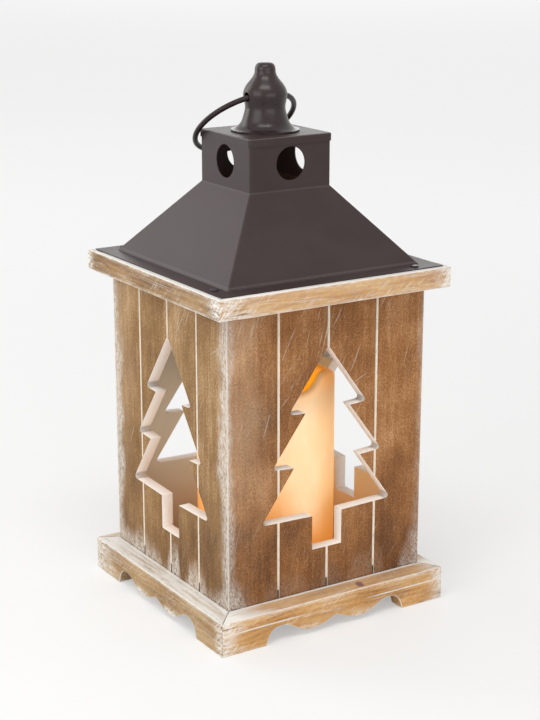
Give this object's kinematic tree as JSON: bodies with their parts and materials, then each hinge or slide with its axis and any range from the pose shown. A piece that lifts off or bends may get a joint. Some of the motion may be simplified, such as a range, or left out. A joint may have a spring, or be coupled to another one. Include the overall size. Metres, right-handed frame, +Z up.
{
  "type": "hanging lantern",
  "caption": "Square wooden candle lantern with tree-shaped openings, scalloped plinth, sheet-metal vent roof, spun finial and carrying ring, lit by an LED candle.",
  "frame": {"origin": "on the table under the lantern's centre, at the bottom of the plinth", "axes": "+Z up, -Y out of the front wall, +X to the right seen from the front"},
  "size_m": [0.145, 0.145, 0.3],
  "materials": {
    "stained_board": "brown stained board with white rubbed edges",
    "washed_pine": "honey pine with a white wash",
    "plain_board": "bare board",
    "dark_metal": "dark brown satin paint",
    "wax": "ivory wax",
    "flame": "clear amber",
    "led_lens": "clear",
    "box_plastic": "ivory moulded",
    "board_green": "green lacquer",
    "contact_metal": "plated",
    "cell_wrap": "plain grey wrap",
    "switch_black": "black moulded",
    "wire_red": "insulated"
  },
  "bodies": {
    "lantern": {"wall_front": "stained_board", "plinth_front": "washed_pine", "top_rail_front": "washed_pine", "wall_right": "stained_board", "plinth_right": "washed_pine", "top_rail_right": "washed_pine", "wall_back": "stained_board", "plinth_back": "washed_pine", "top_rail_back": "washed_pine", "wall_left": "stained_board", "plinth_left": "washed_pine", "top_rail_left": "washed_pine", "floor_board": "plain_board", "roof_skirt": "dark_metal", "roof_collar": "dark_metal", "roof_cap": "dark_metal", "finial": "dark_metal", "roof_nails": "dark_metal", "candle_wax": "wax", "candle_flame": "flame", "led": "led_lens", "led_post": "box_plastic", "led_leads": "contact_metal", "circuit_board": "board_green", "board_screws": "contact_metal", "battery_box": "box_plastic", "battery_left": "cell_wrap", "battery_right": "cell_wrap", "contact_bridge": "contact_metal", "contact_minus": "contact_metal", "contact_plus": "contact_metal", "switch_body": "switch_black", "switch_wires": "wire_red"},
    "ring": {"hanging_ring": "dark_metal"},
    "lid": {"battery_lid": "box_plastic"},
    "knob": {"switch_knob": "switch_black"}
  },
  "joints": [
    {"name": "ring_swing", "type": "hinge", "parent": "lantern", "child": "ring", "pos_m": [0, 0, 0.282], "axis": [1, 0, 0], "range_deg": [0, 260]},
    {"name": "lid_swing", "type": "hinge", "parent": "lantern", "child": "lid", "pos_m": [-0.0268, 0, 0.0162], "axis": [0, 1, 0], "range_deg": [0, 85]},
    {"name": "knob_slide", "type": "slide", "parent": "lantern", "child": "knob", "axis": [1, 0, 0], "range_m": [-0.004, 0]}
  ]
}
